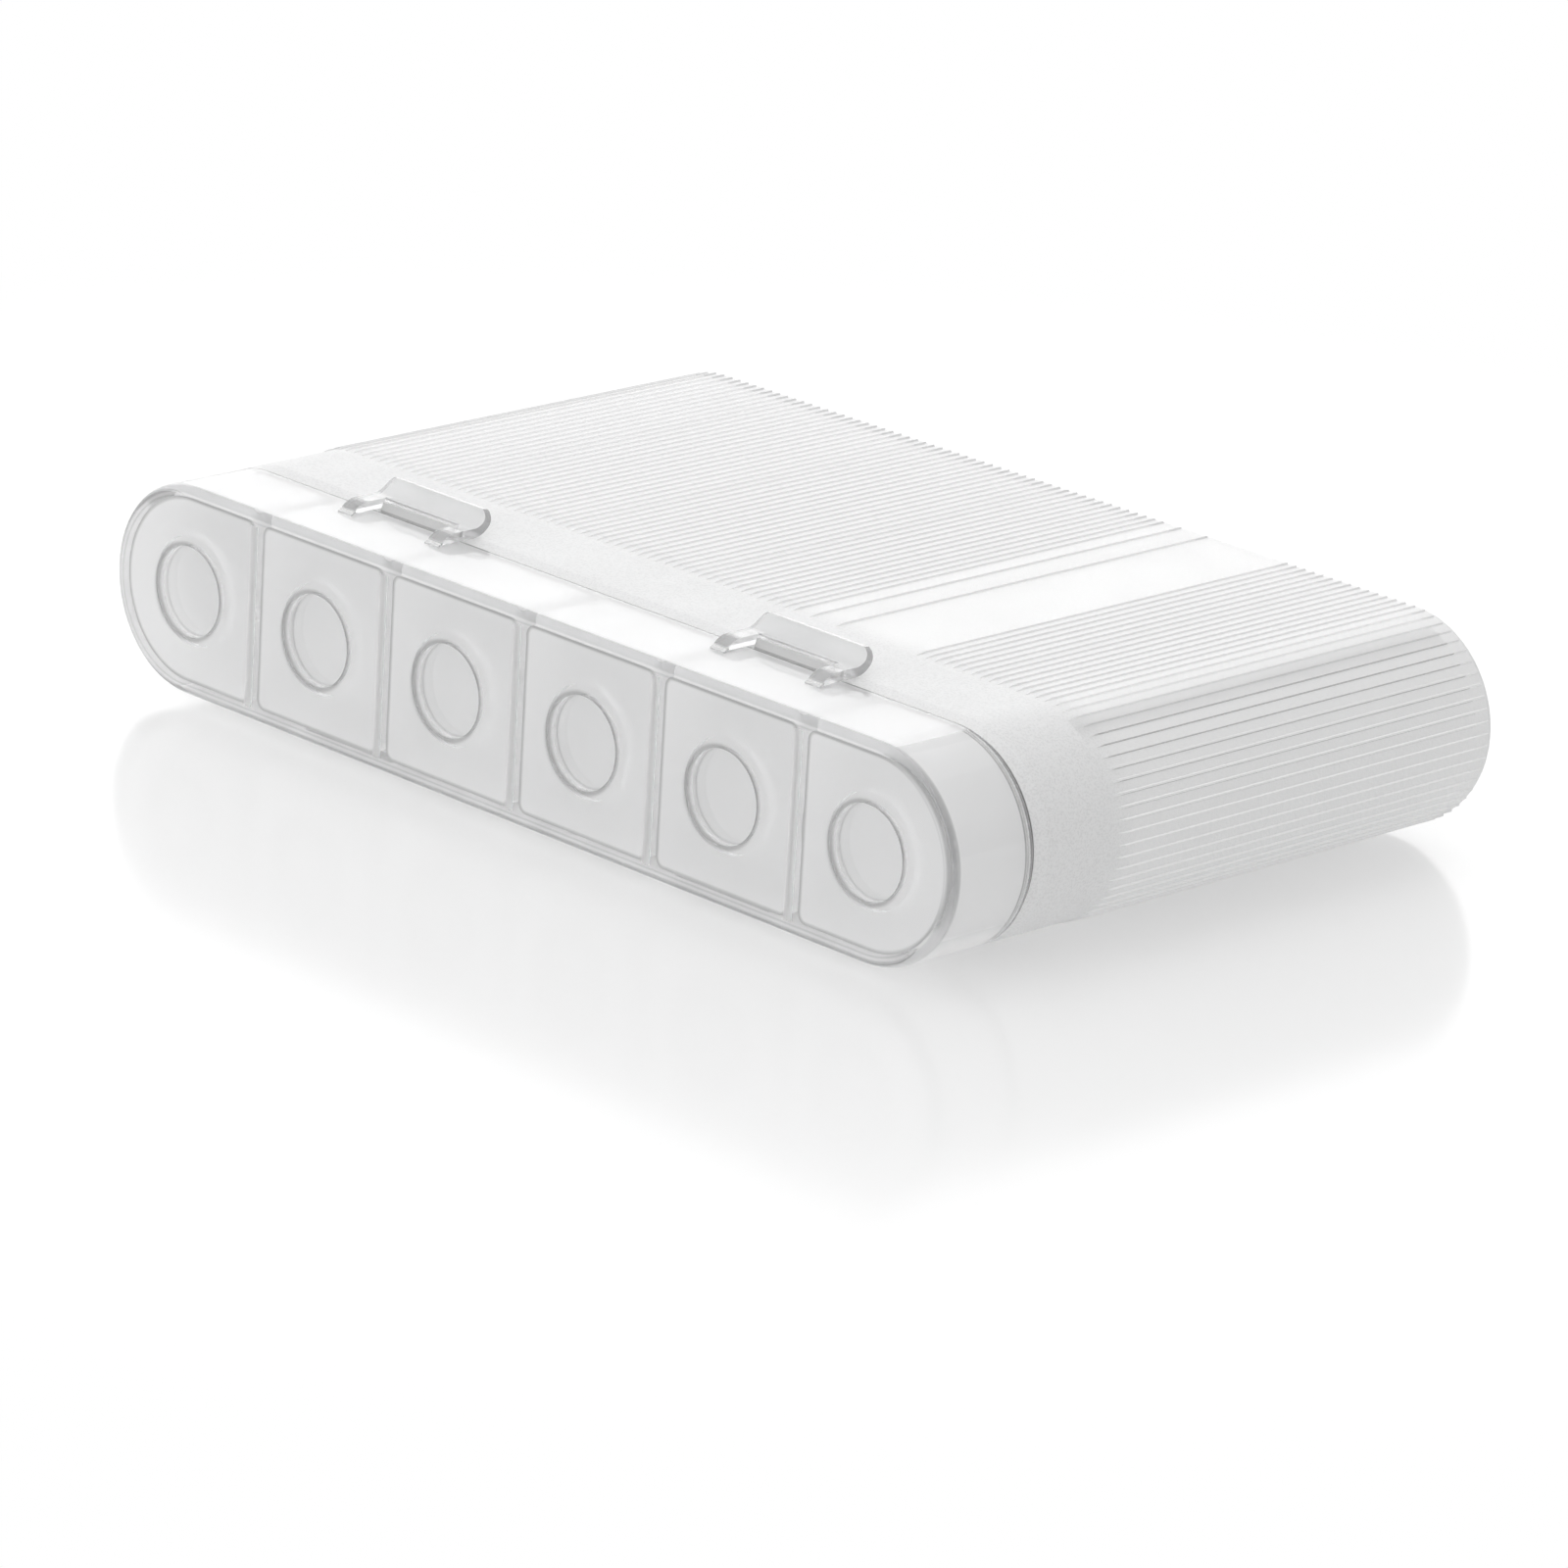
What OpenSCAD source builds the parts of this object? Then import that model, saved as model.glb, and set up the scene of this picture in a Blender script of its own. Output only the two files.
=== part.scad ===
// Pocket case for six small round cells.
// A flat-sided, round-ended body holds one cell in each bay. A shallow clear cap closes
// the open ends of the bays: it folds down on two film hinges under the case, and two
// snap flaps on top hook behind catches on the body.
// X runs along the row of bays, Y along the cells with the cap at the -Y end, Z is up.
// The origin lies under the middle of the case, on the surface that it stands on.

/* [Cells] */
// Number of bays side by side
bays = 6; // [3:1:8]
// Length of one cell
cell_l = 44.5; // [30:0.5:70]
// Free length left beside each cell
cell_play = 0.1; // [0:0.1:2]
// Clear width of one bay
bay_w = 11.2; // [10.6:0.1:16]
// Clear height of one bay
bay_h = 11.9; // [10.6:0.1:16]
// Corner radius inside the bays
bay_corner = 0.7; // [0.2:0.1:2]

/* [Walls] */
// Thickness of the top, bottom and round end walls
wall_t = 0.8; // [0.6:0.05:1.6]
// Thickness of the dividers between bays
divider_t = 0.8; // [0.5:0.05:1.4]
// Thickness of the body's closed rear wall
rear_t = 0.8; // [0.6:0.05:2]
// Thickness of the cap's front wall
front_t = 0.8; // [0.6:0.05:1.6]
// Extra width of each end bay beyond the others
end_room = 0.25; // [0:0.05:1]
// Radius of the rounded rear edge
rear_round = 0.8; // [0.3:0.1:1.2]
// Radius of the rounded front edge
front_round = 0.5; // [0.2:0.1:0.7]

/* [Cap] */
// Depth of the cap from its front to the seam
cap_d = 6.5; // [5:0.1:10]
// Gap between cap and body at the seam
seam_gap = 0.2; // [0.05:0.01:0.3]
// Diameter of the round dimple in front of each bay
dimple_d = 5.9; // [4:0.1:9]
// Depth of each dimple, and height of the pad behind it
dimple_h = 0.8; // [0.3:0.1:1.2]
// Ring of pad left round each dimple
pad_rim = 0.6; // [0.4:0.1:1.2]

/* [Body mouth] */
// Depth of the open mouth before the dividers start
mouth_l = 9.8; // [4:0.1:16]
// Length of the bevel round the outside of the mouth
bevel_l = 1.1; // [0.3:0.1:3]
// Depth of that bevel
bevel_h = 0.3; // [0.05:0.05:0.4]

/* [Grip ribs] */
// Number of ribs over one bay
ribs_per_bay = 16; // [6:1:18]
// Height of a rib above the wall
rib_h = 0.12; // [0.05:0.01:0.3]
// Width of a rib at its foot
rib_w = 0.24; // [0.2:0.02:0.5]
// Width of a rib at its crest
rib_crest_w = 0.1; // [0.06:0.02:0.18]
// Distance from the seam to the start of the ribs
rib_inset = 6.7; // [5:0.1:16]
// Length over which a rib rises out of the wall
rib_run = 1.2; // [0.4:0.1:4]
// Start of the plain band on top, measured from the middle
plain_start = 9.7; // [0:0.1:30]
// Width of the plain band on top
plain_w = 9.8; // [0:0.1:20]

/* [Snap flaps] */
// Distance of each flap from the middle
flap_x = 16.6; // [12:0.1:22]
// Width of a flap
flap_w = 9.2; // [6:0.1:12]
// Width of each arm beside the window
arm_w = 1.2; // [0.8:0.1:2.4]
// Thickness of a flap
flap_t = 0.6; // [0.4:0.05:0.8]
// Gap between a flap and the top of the case
flap_gap = 0.12; // [0.05:0.01:0.3]
// Length of an arm's nose, which thins out to its film hinge
nose_l = 1.1; // [0.6:0.1:1.4]
// Thickness of the nose at the film hinge
nose_t = 0.15; // [0.1:0.05:0.3]
// Distance from the seam forward to a flap's film hinge
flap_reach = 1.85; // [1.5:0.05:3]
// Height of a catch above the body
catch_h = 0.5; // [0.2:0.05:0.6]
// Length of the sloping face of a catch
catch_ramp = 0.2; // [0.1:0.05:0.4]
// Length of a catch along the case
catch_l = 0.35; // [0.3:0.05:1]
// Free space round a catch inside the window
catch_gap = 0.1; // [0.05:0.01:0.3]
// Flat length of the bar behind a catch
bar_flat = 0.15; // [0.1:0.05:1]
// Inner radius of the flap's turned-up finger edge
lift_r = 1.15; // [0.8:0.05:2]
// Angle through which the finger edge turns up
lift_angle = 80; // [20:1:85]
// Thickness of the finger edge
edge_t = 0.4; // [0.25:0.05:0.6]
// Corner radius of the finger edge
flap_corner = 1; // [0.3:0.1:2]

/* [Film hinges] */
// Distance of each hinge strap from the middle
strap_x = 16.6; // [10:0.1:22]
// Width of a hinge strap
strap_w = 8; // [4:0.1:14]
// Length of a strap on each side of the seam
strap_l = 3; // [2:0.1:4.5]
// Height of a strap below the case
strap_h = 0.7; // [0.5:0.05:1.2]
// Thickness left at the fold line
film_t = 0.3; // [0.2:0.05:0.45]
// Half width of the groove above the fold line
groove_w = 0.35; // [0.2:0.05:0.6]

/* [Hidden] */
$fn = 64;

// Outer sizes, worked out from the cells and the walls
bay_pitch = bay_w + divider_t;
end_x = (bays - 1) / 2 * bay_pitch + end_room;
inner_r = bay_h / 2;
outer_r = inner_r + wall_t;
case_d = front_t + dimple_h + cell_l + cell_play + rear_t;

// Stations along the case
front_y = -case_d / 2;
seam_y = front_y + cap_d;
mouth_y = seam_y + seam_gap;
divider_y = seam_y + mouth_l;
rear_y = case_d / 2;
rib_y = seam_y + rib_inset;

// Heights
mid_z = strap_h + outer_r;
top_z = mid_z + outer_r;

// Ribs: an even number stands over each bay, so each divider has one on both sides.
// Round an end, an even number fills the way from the last one on top to the last below.
rib_pitch = bay_pitch / ribs_per_bay;
flat_ribs = 2 * floor((end_x - rib_w / 2) / rib_pitch);
last_flat_x = (flat_ribs - 1) / 2 * rib_pitch;
end_path = PI * outer_r + 2 * (end_x - last_flat_x);
arc_ribs = 2 * floor(end_path / rib_pitch / 2);
arc_step = end_path / (arc_ribs + 1);
rib_root = 0.05;

// Snap flaps
bar_y = mouth_y + catch_l + catch_gap;
hinge_y = seam_y - flap_reach;
nose_r = (nose_l * nose_l + pow(flap_t - nose_t, 2)) / (2 * (flap_t - nose_t));
lift_y = bar_y + bar_flat;
lift_z = flap_gap + flap_t + lift_r;
corner_reach = 0.5;

// Small overlap of joined shapes inside one piece
join = 0.02;
// Length by which a cutting shape runs past the face that it opens
past = 1;

body_colour = [0.93, 0.94, 0.94];
cap_colour = [0.84, 0.86, 0.87];

// A solid with the case's round-ended section. Its child is half a section through
// one end: X is the distance from the mid line, Y the position along the case.
module pill() {
    for (s = [1, -1])
        translate([s * end_x, 0, mid_z])
            rotate([-90, 0, 0])
                rotate([0, 0, s > 0 ? -90 : 90])
                    rotate_extrude(angle = 180)
                        children();
    translate([end_x, 0, mid_z])
        rotate([0, -90, 0])
            linear_extrude(2 * end_x) {
                children();
                mirror([1, 0]) children();
            }
}

// Extrudes its flat child, drawn as the case's cross-section seen from the front, from y0 to y1
module along_case(y0, y1) {
    translate([0, y1, mid_z])
        rotate([90, 0, 0])
            linear_extrude(y1 - y0)
                children();
}

// Extrudes its flat child, drawn in Y and Z, over a width centred on x
module across_case(x, w) {
    translate([x - w / 2, 0, 0])
        rotate([90, 0, 90])
            linear_extrude(w)
                children();
}

// A rectangle with round corners, centred
module round_rect(w, h, r) {
    square([w - 2 * r, h], center = true);
    square([w, h - 2 * r], center = true);
    for (x = [-1, 1], y = [-1, 1])
        translate([x * (w / 2 - r), y * (h / 2 - r)])
            circle(r);
}

// Cross-section of one bay. An end bay runs out into the round end of the case.
module bay_section(i) {
    x = (i - (bays - 1) / 2) * bay_pitch;
    side = i == 0 ? -1 : i == bays - 1 ? 1 : 0;
    if (side == 0) {
        translate([x, 0]) round_rect(bay_w, bay_h, bay_corner);
    } else {
        end_w = bay_w / 2 + end_room + bay_corner;
        translate([x + side * (end_w / 2 - bay_w / 2), 0])
            round_rect(end_w, bay_h, bay_corner);
        translate([side * end_x, 0]) circle(inner_r);
    }
}

// Outline of the ribbed part: crest and foot points in one round trip
function rib_on_flat(x, s) = [
    [x - s * rib_w / 2, s * (outer_r - rib_root)],
    [x - s * rib_crest_w / 2, s * (outer_r + rib_h)],
    [x + s * rib_crest_w / 2, s * (outer_r + rib_h)],
    [x + s * rib_w / 2, s * (outer_r - rib_root)]
];
function at_end(s, r, a) = [s * (end_x + r * cos(a)), s * r * sin(a)];
function arc_of(w) = w / outer_r * 90 / PI;
function rib_on_end(s, a) = [
    at_end(s, outer_r - rib_root, a + arc_of(rib_w)),
    at_end(s, outer_r + rib_h, a + arc_of(rib_crest_w)),
    at_end(s, outer_r + rib_h, a - arc_of(rib_crest_w)),
    at_end(s, outer_r - rib_root, a - arc_of(rib_w))
];
function flat_x(k) = k * rib_pitch - last_flat_x;
function arc_angle(k) = ((arc_ribs - 1) / 2 - k) * arc_step / outer_r * 180 / PI;

// The plain band on top keeps one pair of ribs: the second on each side of a divider
function from_divider(x) = abs(x / bay_pitch - round(x / bay_pitch)) * ribs_per_bay;
function is_plain(x) = x > plain_start && x < plain_start + plain_w
    && round(from_divider(x) + 0.5) != 2;

rib_outline = [
    for (k = [0 : flat_ribs - 1]) if (!is_plain(flat_x(k))) each rib_on_flat(flat_x(k), 1),
    for (k = [0 : arc_ribs - 1]) each rib_on_end(1, arc_angle(k)),
    for (k = [0 : flat_ribs - 1]) each rib_on_flat(flat_x(flat_ribs - 1 - k), -1),
    for (k = [0 : arc_ribs - 1]) each rib_on_end(-1, arc_angle(k))
];

// Half section of the space that the ribs fill: it rises from the wall at their start
module rib_half_section() {
    tall = outer_r + rib_h + join;
    polygon([
        [0, rib_y], [outer_r - rib_root, rib_y], [tall, rib_y + rib_run],
        [tall, rear_y - rear_round], [0, rear_y - rear_round]
    ]);
}

// Half section of the body's outside, bevelled at the mouth and rounded at the rear
module body_half_section() {
    polygon([
        [0, mouth_y], [outer_r - bevel_h, mouth_y], [outer_r, mouth_y + bevel_l],
        [outer_r, rear_y - rear_round], [0, rear_y - rear_round]
    ]);
    translate([0, rear_y - rear_round - join])
        square([outer_r - rear_round, rear_round + join]);
    translate([outer_r - rear_round, rear_y - rear_round])
        intersection() {
            circle(rear_round);
            translate([0, -join]) square(rear_round + join);
        }
}

// Half section of the cap's outside, rounded at the front
module cap_half_section() {
    translate([0, front_y + front_round])
        square([outer_r, cap_d - front_round]);
    translate([0, front_y])
        square([outer_r - front_round, front_round + join]);
    translate([outer_r - front_round, front_y + front_round])
        intersection() {
            circle(front_round);
            translate([0, -front_round]) square([front_round, front_round + join]);
        }
}

// One half of a hinge strap: s is 1 behind the seam and -1 in front of it.
// Its outside is a flat arch, and a groove above the fold line leaves the film.
module strap_half(s) {
    gap = seam_gap / 2;
    arch_r = (strap_l * strap_l + strap_h * strap_h) / (2 * strap_h);
    fold_y = seam_y + seam_gap / 2;
    for (x = [-strap_x, strap_x])
        across_case(x, strap_w)
            translate([fold_y, 0])
                intersection() {
                    translate([0, arch_r]) circle(arch_r);
                    polygon([
                        [s * gap, 0], [s * gap, film_t], [s * groove_w, strap_h],
                        [s * groove_w, strap_h + join], [s * strap_l, strap_h + join],
                        [s * strap_l, 0]
                    ]);
                }
}

// Catch on the body inside a flap's window: a steep ramp that faces the cap
module catch_nub(x) {
    across_case(x, flap_w - 2 * arm_w - 2 * catch_gap)
        translate([mouth_y, top_z])
            polygon([
                [0, -bevel_h - join], [0, 0], [catch_ramp, catch_h],
                [catch_l, catch_h], [catch_l, -bevel_h - join]
            ]);
}

// Side view of a flap: a nose that thins out to its film hinge, a flat arm, and a finger
// edge that turns up and gets thinner. The curves are true arcs.
module flap_side() {
    z = top_z + flap_gap;
    reach = 2 * (lift_r + flap_t);
    translate([hinge_y + nose_l, z + flap_t - nose_r])
        intersection() {
            circle(nose_r);
            translate([-nose_l, nose_r - flap_t]) square([nose_l + join, flap_t]);
        }
    translate([hinge_y + nose_l, z])
        square([lift_y - hinge_y - nose_l + join, flap_t]);
    intersection() {
        difference() {
            translate([lift_y, z + lift_r + edge_t]) circle(lift_r + edge_t);
            translate([lift_y, top_z + lift_z]) circle(lift_r);
        }
        translate([lift_y, top_z + lift_z])
            polygon([
                [0, 0], [0, -reach], [reach, -reach],
                [reach * sin(lift_angle), -reach * cos(lift_angle)]
            ]);
    }
}

// Cuts the corners of a flap's finger edge round. The cut is square to the edge, and its
// circle crosses the edge at a small angle instead of ending flush with it.
module finger_corners() {
    rise = flap_corner / 10;
    outside = -lift_r - flap_t - corner_reach;
    for (s = [0, 1])
        mirror([s, 0, 0])
            translate([0, lift_y, top_z + lift_z])
                rotate([lift_angle, 0, 0])
                    translate([flap_w / 2 - flap_corner, rise - flap_corner, outside])
                        linear_extrude(flap_t + 2 * corner_reach)
                            difference() {
                                square(flap_corner + past);
                                circle(flap_corner);
                            }
}

// Moulded body: round-ended shell with bays, grip ribs, catches and half of each hinge
module body() {
    color(body_colour) {
        difference() {
            union() {
                pill() body_half_section();
                intersection() {
                    along_case(rib_y, rear_y - rear_round) polygon(rib_outline);
                    pill() rib_half_section();
                }
            }
            pill()
                translate([0, mouth_y - past])
                    square([inner_r, divider_y - mouth_y + past + join]);
            along_case(divider_y, rear_y - rear_t)
                for (i = [0 : bays - 1]) bay_section(i);
        }
        for (s = [-1, 1]) catch_nub(s * flap_x);
        strap_half(1);
    }
}

// Moulded cap: clear shell with one pocket and one dimple in front of each bay
module cap() {
    color(cap_colour) {
        difference() {
            union() {
                difference() {
                    pill() cap_half_section();
                    along_case(front_y + front_t, seam_y + past)
                        for (i = [0 : bays - 1]) bay_section(i);
                }
                for (i = [0 : bays - 1])
                    translate([(i - (bays - 1) / 2) * bay_pitch, 0, 0])
                        along_case(front_y + front_t - join, front_y + front_t + dimple_h)
                            circle(dimple_d / 2 + pad_rim);
            }
            for (i = [0 : bays - 1])
                translate([(i - (bays - 1) / 2) * bay_pitch, 0, 0])
                    along_case(front_y - past, front_y + dimple_h)
                        circle(dimple_d / 2);
        }
        strap_half(-1);
    }
}

// Snap flap: its window drops over the catch, and its turned-up edge is lifted to open
module flap(x) {
    color(cap_colour)
        translate([x, 0, 0])
            difference() {
                across_case(0, flap_w) flap_side();
                across_case(0, flap_w - 2 * arm_w)
                    translate([hinge_y - past, top_z])
                        square([bar_y - hinge_y + past, flap_gap + flap_t + past]);
                finger_corners();
            }
}

body();
cap();
flap(-flap_x);  // flap_left
flap(flap_x);  // flap_right
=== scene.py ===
# Pocket case for six small round cells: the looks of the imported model.
# X runs along the row of bays, Y along the cells with the cap at the -Y end, Z is up, in metres.
import math

import bpy
from mathutils import Matrix, Vector


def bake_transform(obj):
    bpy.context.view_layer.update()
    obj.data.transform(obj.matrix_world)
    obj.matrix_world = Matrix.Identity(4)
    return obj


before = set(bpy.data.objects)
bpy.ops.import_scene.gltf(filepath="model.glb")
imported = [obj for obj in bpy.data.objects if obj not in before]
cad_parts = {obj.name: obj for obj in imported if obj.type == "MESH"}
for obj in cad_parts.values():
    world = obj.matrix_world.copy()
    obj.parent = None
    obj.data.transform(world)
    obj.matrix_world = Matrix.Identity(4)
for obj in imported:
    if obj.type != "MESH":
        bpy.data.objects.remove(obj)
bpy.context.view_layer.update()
scene = bpy.context.scene
scene.view_settings.view_transform = "Standard"


# Camera
# A long lens at three-quarter view from the front right, a little above the case and
# tilted by a few degrees, as a product photographer would set it.
view_target = Vector((0.00234, -0.0025, -0.00018))
view_yaw, view_pitch, view_roll = math.radians(44.64), math.radians(18.5), math.radians(3.44)
view_distance = 0.4956
view_back = Vector((
    math.sin(view_yaw) * math.cos(view_pitch),
    -math.cos(view_yaw) * math.cos(view_pitch),
    math.sin(view_pitch),
))
view_right = Vector((math.cos(view_yaw), math.sin(view_yaw), 0))
view_up = view_back.cross(view_right)
camera_x = math.cos(view_roll) * view_right + math.sin(view_roll) * view_up
camera_y = -math.sin(view_roll) * view_right + math.cos(view_roll) * view_up
camera_data = bpy.data.cameras.new("camera")
camera_data.sensor_width = 36
camera_data.lens = 184.5
camera_data.clip_start, camera_data.clip_end = 0.01, 20
camera = bpy.data.objects.new("camera", camera_data)
turn = Matrix((camera_x, camera_y, view_back)).transposed().to_4x4()
camera.matrix_world = Matrix.Translation(view_target + view_back * view_distance) @ turn
scene.collection.objects.link(camera)
scene.camera = camera


# Body
# One injection moulding in milky polypropylene. The mould's textured face leaves a fine
# satin grain outside; the dividers' shade through the wall is painted on as soft pairs of lines.
bay_pitch = 0.012
end_x, mid_z = 0.03025, 0.00745
seam_y = -0.0169
divider_line_x, divider_line_width = 0.001125, 0.00022
plain_band_x, band_fade = 0.0195, 0.0002
# Each pair of values below is where a fade starts and ends
divider_lines_y, divider_lines_x = (-0.0098, -0.0075), (0.0262, 0.0266)
rib_foot, rib_start_y, rib_end_y = (0.00672, 0.00674), (-0.0104, -0.0102), (0.0215, 0.0217)
rib_tone_y, rib_paint_start_y, round_end_x = (-0.0108, -0.0075), (-0.0099, -0.0088), (0.001, 0.0045)
catch_foot, catch_front_y = (0.00678, 0.00681), (-0.0163, -0.016)
# The seam's tones: how far they reach on both sides, and up to where they are full
seam_face, seam_shadow, shadow_from_seam = (0.00014, 0.00011), (0.00009, 0.00005), 0.0002
polypropylene_ior = 1.49
wall_tint, body_share, flat_rib_share = 0.985, 0.82, 0.15


def place(tree, kind, inputs=None, **settings):
    """Adds a node with its settings. An input is given a plain value, or a socket to link."""
    node = tree.nodes.new(kind)
    for name, value in settings.items():
        setattr(node, name, value)
    for name, value in (inputs or {}).items():
        if isinstance(value, bpy.types.NodeSocket):
            tree.links.new(value, node.inputs[name])
        else:
            node.inputs[name].default_value = value
    return node


def maths(tree, operation, *values):
    return place(tree, "ShaderNodeMath", dict(enumerate(values)), operation=operation).outputs[0]


def minus(tree, a, b):
    return maths(tree, "SUBTRACT", a, b)


def size_of(tree, value):
    return maths(tree, "ABSOLUTE", value)


def times(tree, first, *others):
    """Multiplies masks and values together."""
    for other in others:
        first = maths(tree, "MULTIPLY", first, other)
    return first


def either(tree, first, *others):
    """Is 1 where any of the masks is."""
    for other in others:
        first = maths(tree, "MAXIMUM", first, other)
    return first


def length_of(tree, a, b):
    return maths(tree, "SQRT", maths(
        tree, "ADD", maths(tree, "POWER", a, 2.0), maths(tree, "POWER", b, 2.0)))


def vector(tree, **parts):
    return place(tree, "ShaderNodeCombineXYZ", parts).outputs[0]


def ramp(tree, value, start, end, low=0.0, high=1.0):
    """Runs smoothly from low to high while the value goes from start to end."""
    return place(tree, "ShaderNodeMapRange", {
        "Value": value, "From Min": start, "From Max": end, "To Min": low, "To Max": high,
    }, interpolation_type="SMOOTHSTEP").outputs[0]


def fall(tree, value, start, end):
    """Runs smoothly from 1 to 0 while the value goes from start to end."""
    return ramp(tree, value, start, end, 1.0, 0.0)


def line(tree, distance, half_width, full_width=0.0):
    """Is 1 out to the full width on both sides and fades to 0 at the half width."""
    return fall(tree, size_of(tree, distance), full_width, half_width)


def grey(value):
    return (value, value, value, 1)


def shaded(tree, mask, plain, covered):
    """Goes from the plain colour to the covered one where the mask is 1."""
    mix = place(tree, "ShaderNodeMix", {0: mask}, data_type="RGBA")
    for socket, colour in ((6, plain), (7, covered)):
        if isinstance(colour, bpy.types.NodeSocket):
            tree.links.new(colour, mix.inputs[socket])
        else:
            mix.inputs[socket].default_value = colour
    return mix.outputs[2]


def mixed(tree, share, first, second):
    """Goes from the first surface to the second one as the share goes from 0 to 1."""
    return place(tree, "ShaderNodeMixShader", {"Fac": share, 1: first, 2: second}).outputs["Shader"]


def new_plastic(name):
    material = bpy.data.materials.new(name)
    material.use_nodes = True
    return material, material.node_tree, material.node_tree.nodes["Principled BSDF"]


def where(tree):
    """The place on the case, as X, Y and Z."""
    spot = place(tree, "ShaderNodeTexCoord").outputs["Object"]
    return place(tree, "ShaderNodeSeparateXYZ", {0: spot}).outputs


def facing(tree):
    """The way that the surface faces on the case, as X, Y and Z."""
    normal = place(tree, "ShaderNodeTexCoord").outputs["Normal"]
    return place(tree, "ShaderNodeSeparateXYZ", {0: normal}).outputs


def in_scene(tree, direction):
    """Turns a direction on the case into one in the scene."""
    return place(tree, "ShaderNodeVectorTransform", {0: direction}, vector_type="NORMAL",
                 convert_from="OBJECT", convert_to="WORLD").outputs[0]


def let_light_in(tree, surface, share, tint):
    """Lets part of the light on its way to other pieces through the wall, as milky walls do."""
    path = place(tree, "ShaderNodeLightPath").outputs
    to_light = either(tree, path["Is Shadow Ray"], path["Is Diffuse Ray"])
    gate = place(tree, "ShaderNodeBsdfTransparent", {"Color": grey(tint)}).outputs["BSDF"]
    wall = mixed(tree, times(tree, to_light, share), surface, gate)
    tree.links.new(wall, tree.nodes["Material Output"].inputs["Surface"])


def mould_in(node, plastic):
    """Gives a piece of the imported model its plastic."""
    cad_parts[node].data.materials.clear()
    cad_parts[node].data.materials.append(plastic)


# The finish that every moulding here has: cloudy shade, uneven gloss and a fine grain
moulded = bpy.data.node_groups.new("moulded_finish", "ShaderNodeTree")
for name, value in (("Grain Scale", 3000.0), ("Cloud Scale", 60.0), ("Cloud Depth", 0.03),
                    ("Roughness", 0.4), ("Roughness Spread", 0.1)):
    socket = moulded.interface.new_socket(name, in_out="INPUT", socket_type="NodeSocketFloat")
    socket.default_value = value
for name in ("Shade", "Roughness", "Height"):
    moulded.interface.new_socket(name, in_out="OUTPUT", socket_type="NodeSocketFloat")
given = place(moulded, "NodeGroupInput").outputs
spot = place(moulded, "ShaderNodeTexCoord").outputs["Object"]
cloud = place(moulded, "ShaderNodeTexNoise", {
    "Vector": spot, "Scale": given["Cloud Scale"], "Detail": 3.0, "Roughness": 0.6,
}).outputs["Fac"]
grain = place(moulded, "ShaderNodeTexNoise", {
    "Vector": spot, "Scale": given["Grain Scale"], "Detail": 2.0, "Roughness": 0.7,
}).outputs["Fac"]
smudge = place(moulded, "ShaderNodeTexNoise", {
    "Vector": spot, "Scale": 260.0, "Detail": 4.0, "Distortion": 0.4,
}).outputs["Fac"]
place(moulded, "NodeGroupOutput", {
    "Shade": times(moulded, ramp(moulded, cloud, 0.35, 0.7), given["Cloud Depth"]),
    "Roughness": maths(moulded, "MULTIPLY_ADD", ramp(moulded, smudge, 0.3, 0.75, -0.5, 0.5),
                       given["Roughness Spread"], given["Roughness"]),
    "Height": grain,
})


def finish(tree, **values):
    node = place(tree, "ShaderNodeGroup", node_tree=moulded)
    for name, value in values.items():
        node.inputs[name.replace("_", " ")].default_value = value
    return node.outputs


def seam_shade(tree, y, colour):
    """Greys the faces of the seam a little, and draws its shadow line just beside them."""
    aside = size_of(tree, minus(tree, y, seam_y))
    colour = shaded(tree, line(tree, aside, *seam_face), colour, grey(0.5))
    shadow = line(tree, minus(tree, aside, shadow_from_seam), *seam_shadow)
    return shaded(tree, shadow, colour, grey(0.2))


body_plastic, tree, shader = new_plastic("milky_polypropylene")
x, y, z = where(tree)
satin = finish(tree, Grain_Scale=7000, Cloud_Scale=70, Cloud_Depth=0.05,
               Roughness=0.38, Roughness_Spread=0.12)
tree.links.new(satin["Roughness"], shader.inputs["Roughness"])
grain = place(tree, "ShaderNodeBump", {
    "Height": satin["Height"], "Strength": 0.6, "Distance": 0.00005,
})
tree.links.new(grain.outputs["Normal"], shader.inputs["Normal"])
shader.inputs["IOR"].default_value = polypropylene_ior
shader.inputs["Specular IOR Level"].default_value = 0.15
shader.inputs["Transmission Weight"].default_value = 0.12
colour = shaded(tree, satin["Shade"], (0.875, 0.876, 0.878, 1), (0.8, 0.802, 0.81, 1))
# Painted shade: the dividers behind the wall darken the body in soft pairs of lines
beside = minus(tree, maths(tree, "PINGPONG", x, bay_pitch / 2), divider_line_x)
painted_divider_shade = times(tree, line(tree, beside, divider_line_width), ramp(tree, y, *divider_lines_y),
                      fall(tree, size_of(tree, x), *divider_lines_x))
colour = shaded(tree, times(tree, painted_divider_shade, 0.2), colour, grey(0.55))
speckle = ramp(tree, satin["Height"], 0.45, 0.65)
colour = shaded(tree, times(tree, speckle, 0.2), colour, grey(0.45))
colour = seam_shade(tree, y, colour)
past_end = times(tree, maths(tree, "SIGN", x),
                 maths(tree, "MAXIMUM", minus(tree, size_of(tree, x), end_x), 0.0))
up = minus(tree, z, mid_z)
from_axis = length_of(tree, past_end, up)
# Painted shade: the catch under each flap's bar is painted grey
catch_shade = times(tree, ramp(tree, from_axis, *catch_foot), fall(tree, y, *catch_front_y))
colour = shaded(tree, catch_shade, colour, grey(0.7))
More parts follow.
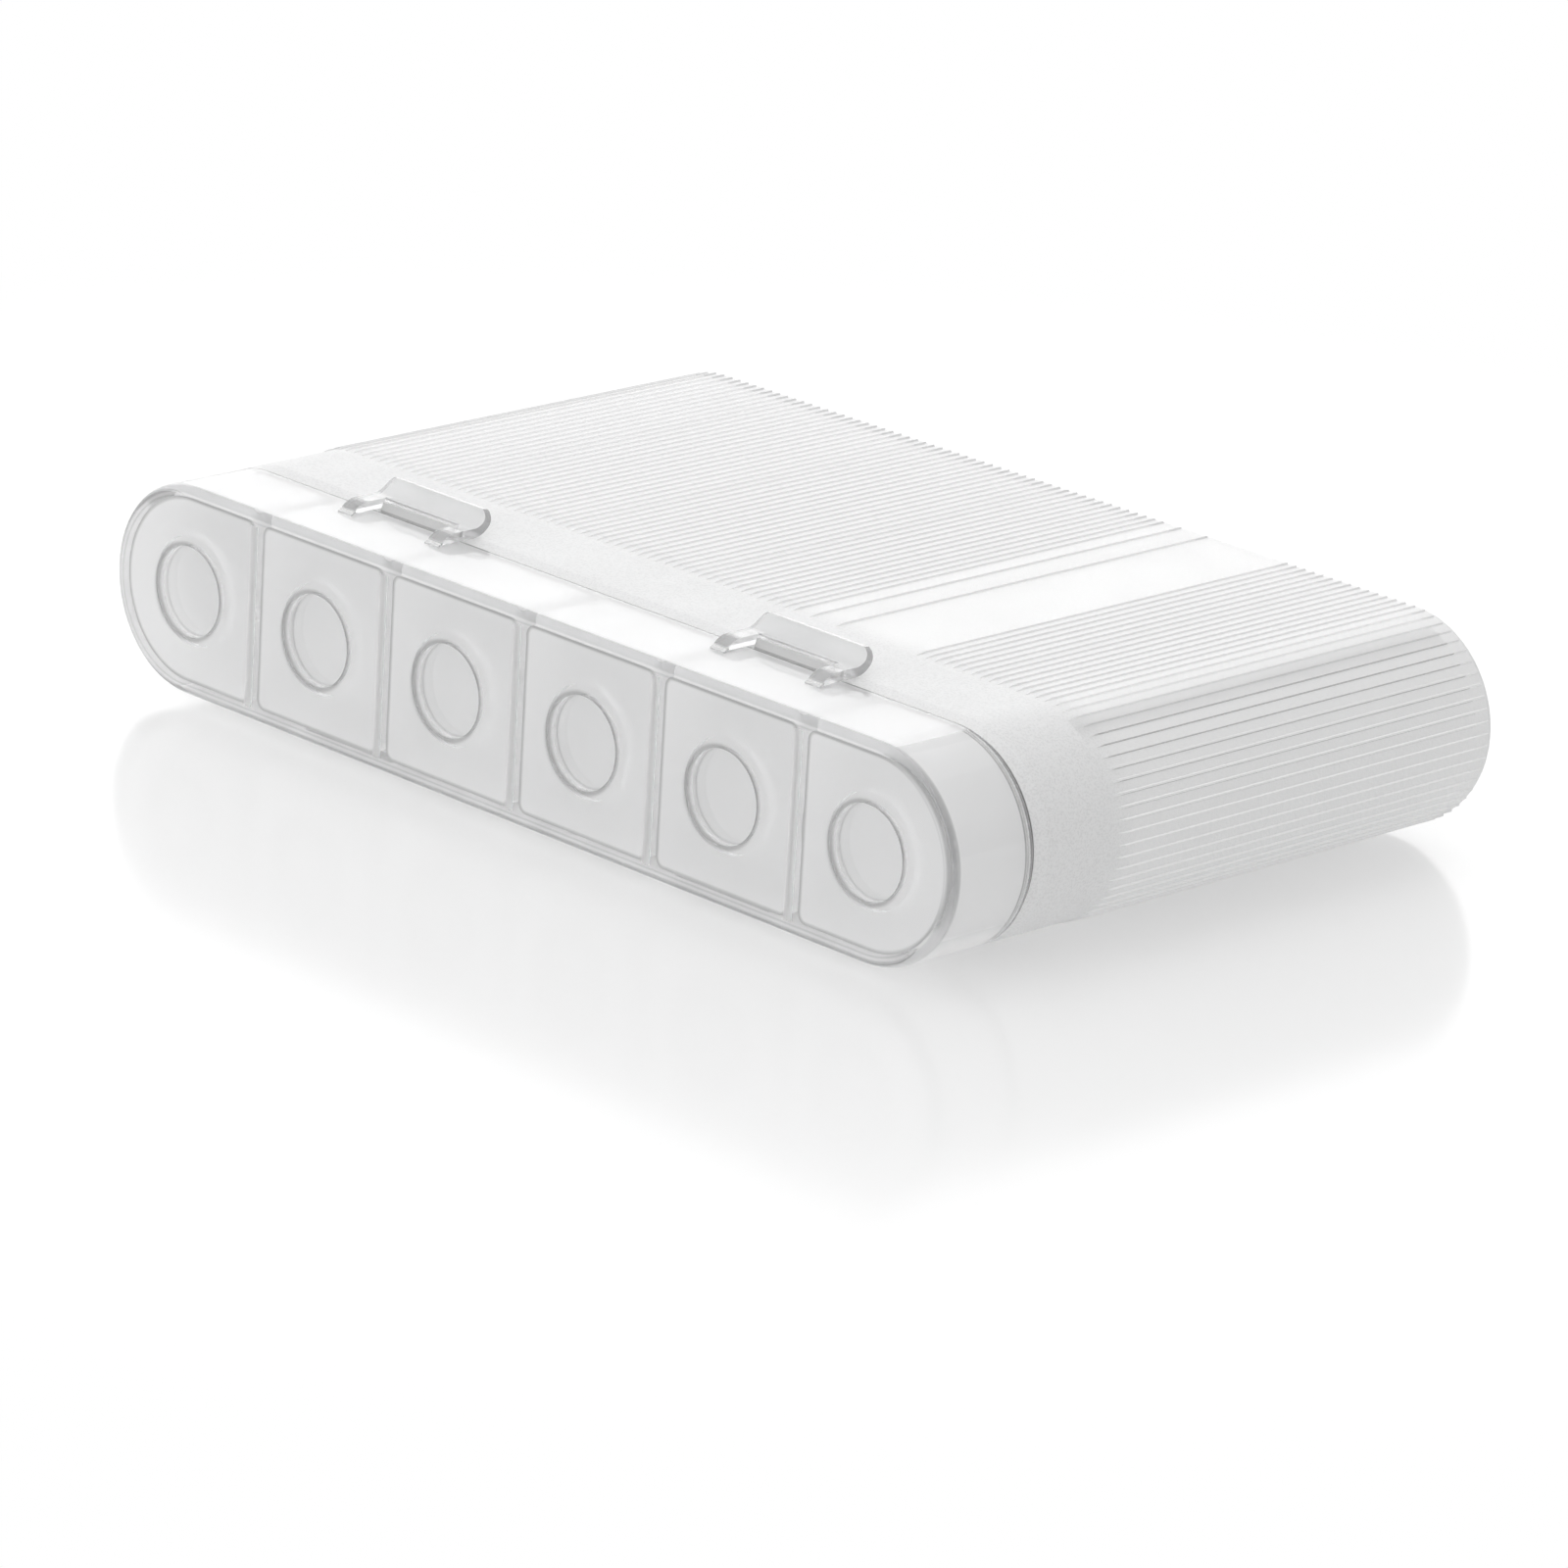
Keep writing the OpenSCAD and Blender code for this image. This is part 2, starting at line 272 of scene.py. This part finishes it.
# The ribbed part is painted lighter to make up for the shade of its flanks. At the round ends each
# rib gets a painted highlight on its upper side and painted shade on its underside
round_end = ramp(tree, size_of(tree, past_end), *round_end_x)
on_flats = minus(tree, 1.0, round_end)
beyond_foot = ramp(tree, from_axis, *rib_foot)
on_rib = times(tree, beyond_foot, ramp(tree, y, *rib_start_y), fall(tree, y, *rib_end_y))
among_ribs = times(tree, beyond_foot, ramp(tree, y, *rib_tone_y))
painted_rib_light = ramp(tree, round_end, 0.0, 1.0, 0.985, 0.93)
painted_rib_light = place(tree, "ShaderNodeCombineColor", {"Red": painted_rib_light, "Green": painted_rib_light, "Blue": painted_rib_light})
colour = shaded(tree, times(tree, among_ribs, 0.85), colour, painted_rib_light.outputs[0])
facing_x, facing_y, facing_z = facing(tree)
tilt = minus(tree, facing_z, maths(tree, "DIVIDE", up, from_axis))
rib_light_and_shade = times(tree, ramp(tree, y, *rib_paint_start_y), on_rib, round_end)
# Painted highlight where a rib faces up, painted shade where it faces down
painted_crest_light = ramp(tree, tilt, 0.1, 0.3)
colour = shaded(tree, times(tree, rib_light_and_shade, painted_crest_light), colour, grey(1.0))
underside = fall(tree, tilt, -0.3, -0.1)
colour = shaded(tree, times(tree, rib_light_and_shade, 0.6, underside), colour, grey(0.35))
tree.links.new(colour, shader.inputs["Base Color"])
# Light from beyond a rib shines through it, so its near flank isn't dark
beyond = in_scene(tree, vector(tree, X=facing_x, Y=facing_y, Z=times(tree, facing_z, -1.0)))
through = place(tree, "ShaderNodeBsdfTranslucent", {"Color": grey(1), "Normal": beyond})
steep = fall(tree, size_of(tree, facing_z), 0.85, 0.95)
by_side = ramp(tree, x, plain_band_x - band_fade, plain_band_x + band_fade, 1.0, 0.9)
glow = times(tree, on_rib, on_flats, steep, by_side)
body_surface = mixed(tree, glow, shader.outputs["BSDF"], through.outputs["BSDF"])
let_light_in(tree, body_surface, maths(
    tree, "MULTIPLY_ADD", times(tree, among_ribs, on_flats), flat_rib_share, body_share), wall_tint)
mould_in("body", body_plastic)


# Cap
# The same plastic from a polished mould: a glossy hazy shell that shows its own walls as crisp
# lines, partly by refraction and partly as painted shade, while what lies further behind blurs away.
pocket_half_height, pocket_corner = 0.00595, 0.0007
half_divider = 0.0004
front_y, inner_face_y = -0.0235, -0.0227
rim_start, rim_end = 0.0006, 0.0007
dimple_radius, pad_radius = 0.00295, 0.00355
# Each pair of values below is where a fade starts and ends
flat_height, flat_start_y, pad_end_y = (0.0066, 0.0067), (-0.0232, -0.0228), (-0.0219, -0.02185)
# How far each painted line of shade or highlight, and each ring wall, reaches on both sides, and up
# to where it is full
corner_line, lip_line, foot_line = (0.00032, 0.00005), (0.0004, 0.0001), (0.00018, 0.0)
glint_line, ring_line, glint_in_rim = (0.00014, 0.00004), (0.00006, 0.00003), 0.00024
cap_share = 0.84


def leaned(tree, aim_x, aim_z, share):
    """Turns the normal by a share towards an aim across the case, or right away from it."""
    normal = place(tree, "ShaderNodeNewGeometry").outputs["Normal"]
    aim = in_scene(tree, vector(tree, X=aim_x, Z=aim_z))
    side = place(tree, "ShaderNodeVectorMath", {0: normal, 1: aim}, operation="DOT_PRODUCT")
    side = maths(tree, "SIGN", side.outputs["Value"])
    aim = place(tree, "ShaderNodeVectorMath", {0: aim, "Scale": side}, operation="SCALE").outputs[0]
    mix = place(tree, "ShaderNodeMix", {0: share, 4: normal, 5: aim}, data_type="VECTOR").outputs[1]
    return place(tree, "ShaderNodeVectorMath", {0: mix}, operation="NORMALIZE").outputs[0]


def below(tree, limit, value):
    return maths(tree, "MAXIMUM", minus(tree, limit, value), 0.0)


cap_plastic, tree, shader = new_plastic("clear_polypropylene")
x, y, z = where(tree)
gloss = finish(tree, Grain_Scale=1500, Cloud_Scale=90, Cloud_Depth=0.25,
               Roughness=0.05, Roughness_Spread=0.04)
across = size_of(tree, x)
up = minus(tree, z, mid_z)
past_end = maths(tree, "MAXIMUM", minus(tree, across, end_x), 0.0)
from_divider = maths(tree, "MAXIMUM", maths(tree, "PINGPONG", x, bay_pitch / 2),
                     minus(tree, across, 2 * bay_pitch))
in_height = minus(tree, pocket_half_height, length_of(tree, past_end, up))
in_width = minus(tree, from_divider, half_divider)
in_pocket = minus(tree, pocket_corner, length_of(
    tree, below(tree, pocket_corner, in_width), below(tree, pocket_corner, in_height)))
aside = minus(tree, maths(tree, "WRAP", x, bay_pitch, 0.0), bay_pitch / 2)
from_middle = length_of(tree, aside, up)
from_dimple = minus(tree, from_middle, dimple_radius)
from_face = minus(tree, y, inner_face_y)
colour = shaded(tree, gloss["Shade"], (0.985, 0.986, 0.988, 1), (0.94, 0.943, 0.95, 1))
# Painted shade in the inner corners of the pockets, behind the front wall
corner_shade = line(tree, length_of(tree, from_face, in_pocket), *corner_line)
colour = shaded(tree, times(tree, corner_shade, 0.8), colour, grey(0.2))
# Painted shade on the band over the top wall, with a painted highlight along its inner edge
shaded_rim = times(tree, fall(tree, in_height, -0.00006, 0.0),
            fall(tree, y, front_y + rim_start, front_y + rim_end))
colour = shaded(tree, shaded_rim, colour, (0.72, 0.723, 0.73, 1))
glint = times(tree, shaded_rim, line(tree, maths(tree, "ADD", in_height, glint_in_rim), *glint_line))
colour = shaded(tree, glint, colour, grey(1.0))
# Painted shade along the rim of each dimple and round the edge of its floor
dimple_lip_shade = line(tree, length_of(tree, minus(tree, y, front_y), from_dimple), *lip_line)
colour = shaded(tree, times(tree, dimple_lip_shade, 0.7), colour, grey(0.2))
dimple_foot_shade = line(tree, length_of(tree, from_face, from_dimple), *foot_line)
colour = shaded(tree, times(tree, dimple_foot_shade, 0.45), colour, grey(0.3))
tree.links.new(seam_shade(tree, y, colour), shader.inputs["Base Color"])
# The front and the dimples are polished, and the pockets are satin. The strips between the
# pockets and the flat top and underside are duller, and a thin clear skin lies on the flats
in_dimple = times(tree, fall(tree, from_dimple, 0.0, 0.00005), fall(tree, from_face, 0.0001, 0.0002))
inside = times(tree, ramp(tree, from_face, -0.00005, -0.00001),
               ramp(tree, in_pocket, -0.0001, -0.00005), minus(tree, 1.0, in_dimple))
strip = times(tree, fall(tree, in_width, -0.0001, 0.0), ramp(tree, in_height, 0.0, 0.0002),
              fall(tree, y, front_y, front_y + 0.0001))
flat = times(tree, ramp(tree, size_of(tree, up), *flat_height), ramp(tree, y, *flat_start_y))
rough = maths(tree, "MULTIPLY_ADD", inside, 0.6, gloss["Roughness"])
rough = maths(tree, "MULTIPLY_ADD", strip, 0.35, rough)
rough = maths(tree, "MULTIPLY_ADD", flat, 0.4, rough)
tree.links.new(rough, shader.inputs["Roughness"])
tree.links.new(times(tree, flat, 0.6), shader.inputs["Coat Weight"])
shader.inputs["Coat Roughness"].default_value = 0.03
# The narrow walls of dimples and pads shade as smooth rings
ring_wall = times(
    tree, fall(tree, y, *pad_end_y),
    either(tree, line(tree, from_dimple, *ring_line),
           line(tree, minus(tree, from_middle, pad_radius), *ring_line)),
    fall(tree, size_of(tree, facing(tree)["Y"]), 0.3, 0.5))
tree.links.new(leaned(tree, aside, up, ring_wall), shader.inputs["Normal"])
shader.inputs["IOR"].default_value = polypropylene_ior
shader.inputs["Transmission Weight"].default_value = 0.75
let_light_in(tree, shader.outputs["BSDF"], cap_share, wall_tint)
mould_in("cap", cap_plastic)


# Snap flaps
# Thin tongues of the same moulding. They are clearer than the cap, and their cut edges and
# folds gather the light into grey lines.
thin_share, thin_tint = 0.6, 0.95

flap_plastic, tree, shader = new_plastic("clear_thin_polypropylene")
gloss = finish(tree, Grain_Scale=1500, Cloud_Scale=240, Cloud_Depth=0.3,
               Roughness=0.07, Roughness_Spread=0.05)
colour = shaded(tree, gloss["Shade"], (0.93, 0.932, 0.935, 1), (0.8, 0.805, 0.81, 1))
tree.links.new(colour, shader.inputs["Base Color"])
tree.links.new(gloss["Roughness"], shader.inputs["Roughness"])
shader.inputs["IOR"].default_value = polypropylene_ior
shader.inputs["Transmission Weight"].default_value = 0.8
let_light_in(tree, shader.outputs["BSDF"], thin_share, thin_tint)
for flap in ("flap_left", "flap_right"):
    mould_in(flap, flap_plastic)


# Hinge films
# Thin strips of the same plastic that bend: one in each strap under the case, and one at the
# nose of each flap's arms. Each is one mesh with its two strips, and whitens along its fold.
film_thickness, fold_width = 0.00012, 0.0001
strap_spacing, strap_width, strap_run, strap_z = 0.0332, 0.008, 0.0003, 0.00007
strap_reach = 0.0001
arm_spacing, arm_width, arm_run, arm_rise = 0.008, 0.0012, 0.0004, 0.00016
flap_x, nose_y, nose_z = 0.0166, -0.01885, 0.01432
arm_fold, arm_middle, arm_start, arm_drop = 0.00008, 0.00012, 0.00022, 0.00008

film_strips = bpy.data.node_groups.new("film_strips", "GeometryNodeTree")
film_strips.is_modifier = True
sizes = {}
for name, kind in (("Spacing", "Float"), ("Width", "Float"), ("Run", "Float"), ("Rise", "Float"),
                   ("Thickness", "Float"), ("Place", "Vector"), ("Material", "Material")):
    sizes[name] = film_strips.interface.new_socket(
        name, in_out="INPUT", socket_type=f"NodeSocket{kind}")
film_strips.interface.new_socket("Geometry", in_out="OUTPUT", socket_type="NodeSocketGeometry")
given = place(film_strips, "NodeGroupInput").outputs
strip_size = vector(film_strips, X=given["Width"], Y=given["Run"], Z=given["Thickness"])
strips = place(film_strips, "GeometryNodeMeshCube", {
    "Size": strip_size, "Vertices X": 2, "Vertices Y": 13, "Vertices Z": 2,
}).outputs["Mesh"]
along = place(film_strips, "ShaderNodeSeparateXYZ", {
    0: place(film_strips, "GeometryNodeInputPosition").outputs[0],
}).outputs["Y"]
climb = ramp(film_strips, maths(film_strips, "DIVIDE", along, given["Run"]), -0.5, 0.5)
strips = place(film_strips, "GeometryNodeSetPosition", {
    "Geometry": strips, "Offset": vector(film_strips, Z=times(film_strips, climb, given["Rise"])),
}).outputs[0]
first = place(film_strips, "ShaderNodeVectorMath", {
    0: vector(film_strips, X=times(film_strips, given["Spacing"], -0.5)), 1: given["Place"],
}, operation="ADD").outputs[0]
pair = place(film_strips, "GeometryNodeMeshLine", {
    "Count": 2, "Start Location": first, "Offset": vector(film_strips, X=given["Spacing"]),
}, mode="OFFSET").outputs["Mesh"]
strips = place(film_strips, "GeometryNodeInstanceOnPoints", {
    "Points": pair, "Instance": strips}).outputs[0]
strips = place(film_strips, "GeometryNodeRealizeInstances", {"Geometry": strips}).outputs[0]
strips = place(film_strips, "GeometryNodeSetMaterial", {
    "Geometry": strips, "Material": given["Material"]}).outputs[0]
place(film_strips, "NodeGroupOutput", {"Geometry": strips})

film_plastic, tree, shader = new_plastic("flexed_polypropylene")
y = where(tree)["Y"]
gloss = finish(tree, Grain_Scale=2500, Cloud_Scale=400, Cloud_Depth=0.3,
               Roughness=0.2, Roughness_Spread=0.1)
colour = shaded(tree, gloss["Shade"], (0.9, 0.902, 0.905, 1), (0.8, 0.805, 0.81, 1))
fold = either(tree, line(tree, minus(tree, y, seam_y), fold_width),
              line(tree, minus(tree, y, nose_y - arm_fold), fold_width))
tree.links.new(shaded(tree, fold, colour, grey(0.98)), shader.inputs["Base Color"])
rough = maths(tree, "MULTIPLY_ADD", fold, 0.3, gloss["Roughness"])
tree.links.new(rough, shader.inputs["Roughness"])
shader.inputs["IOR"].default_value = polypropylene_ior
shader.inputs["Transmission Weight"].default_value = 0.5
let_light_in(tree, shader.outputs["BSDF"], thin_share, thin_tint)


def hinge_film(name, fixed, turning, start_y, end_y, **values):
    """Makes one film from its sizes."""
    shell = bpy.data.objects.new(name, bpy.data.meshes.new(name))
    scene.collection.objects.link(shell)
    modifier = shell.modifiers.new("film_strips", "NODES")
    modifier.node_group = film_strips
    for size, value in {**values, "Thickness": film_thickness, "Material": film_plastic}.items():
        modifier[sizes[size].identifier] = value
    evaluated = shell.evaluated_get(bpy.context.evaluated_depsgraph_get())
    made = bpy.data.meshes.new_from_object(evaluated)
    shell.modifiers.remove(modifier)
    shell.data = made
    made.name = name
    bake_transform(shell)


hinge_film("strap_film", "body", "cap", seam_y + strap_reach, seam_y - strap_reach,
           Spacing=strap_spacing, Width=strap_width, Run=strap_run, Rise=0.0,
           Place=(0, seam_y, strap_z))
for flap, side in (("flap_left", -1), ("flap_right", 1)):
    hinge_film(flap + "_film", "cap", flap, nose_y - arm_start, nose_y,
               Spacing=arm_spacing, Width=arm_width, Run=arm_run, Rise=arm_rise,
               Place=(side * flap_x, nose_y - arm_middle, nose_z - arm_drop))


# Floor and backdrop
# A sheet of glossy white acrylic that fades into plain white. It shows from above only, so
# the underside can be looked at.
white_from, white_at = 0.04, 0.12

bpy.ops.mesh.primitive_plane_add(size=6, location=(0, 0, 0))
floor = bpy.context.object
floor.name = "floor"
floor_surface, tree, shader = new_plastic("white_acrylic")
shader.inputs["Base Color"].default_value = (0.97, 0.97, 0.97, 1)
shader.inputs["Roughness"].default_value = 0.15
path = place(tree, "ShaderNodeLightPath").outputs
direct = either(tree, path["Is Camera Ray"], path["Is Glossy Ray"], path["Is Transmission Ray"])
away = ramp(tree, length_of(tree, *where(tree)[:2]), white_from, white_at)
white = place(tree, "ShaderNodeEmission", {"Color": grey(1), "Strength": 1.0})
sheet = mixed(tree, times(tree, direct, away), shader.outputs["BSDF"], white.outputs["Emission"])
below_it = place(tree, "ShaderNodeBsdfTransparent").outputs["BSDF"]
backfacing = place(tree, "ShaderNodeNewGeometry").outputs["Backfacing"]
tree.links.new(mixed(tree, backfacing, sheet, below_it),
               tree.nodes["Material Output"].inputs["Surface"])
floor.data.materials.append(floor_surface)


# Light
# A large soft lamp stands overhead and a little behind, and a wide one low behind the case on
# the left. The rest comes from white studio walls, brightest above the camera's left.
walls_brightest, mirror_white = (-0.3, -0.52, 0.84), (-0.45, 0.55, 0.7)


def softbox(name, spot, width, height, power):
    data = bpy.data.lights.new(name, "AREA")
    data.shape = "RECTANGLE"
    data.size, data.size_y = width, height
    data.energy = power
    lamp = bpy.data.objects.new(name, data)
    lamp.location = spot
    lamp.rotation_mode = "QUATERNION"
    lamp.rotation_quaternion = (-Vector(spot)).to_track_quat("-Z", "Y")
    scene.collection.objects.link(lamp)


softbox("overhead_softbox", (-0.1, 0.25, 0.6), 0.6, 0.6, 0.4)
softbox("rear_softbox", (-0.437, 0.367, 0.185), 0.56, 0.344, 0.45)

world = bpy.data.worlds.new("studio")
scene.world = world
world.use_nodes = True
tree = world.node_tree
direction = place(tree, "ShaderNodeTexCoord").outputs["Generated"]


def towards(aim):
    return place(tree, "ShaderNodeVectorMath", {0: direction, 1: aim},
                 operation="DOT_PRODUCT").outputs["Value"]


walls = tree.nodes["Background"]
walls.inputs["Color"].default_value = grey(1)
tree.links.new(maths(tree, "MULTIPLY_ADD", towards(walls_brightest), 0.49, 0.595),
               walls.inputs["Strength"])
# Mirrors and clear plastic see white behind the case and above it, and grey in front of it
mirrored = place(tree, "ShaderNodeBackground", {
    "Color": grey(1), "Strength": ramp(tree, towards(mirror_white), -0.3, 0.45, 0.3, 1),
})
seen = place(tree, "ShaderNodeBackground", {"Color": grey(1), "Strength": 1.0})
path = place(tree, "ShaderNodeLightPath").outputs
bent = either(tree, path["Is Glossy Ray"], path["Is Transmission Ray"])
soft_or_bent = mixed(tree, bent, walls.outputs["Background"], mirrored.outputs["Background"])
any_ray = mixed(tree, path["Is Camera Ray"], soft_or_bent, seen.outputs["Background"])
tree.links.new(any_ray, tree.nodes["World Output"].inputs["Surface"])
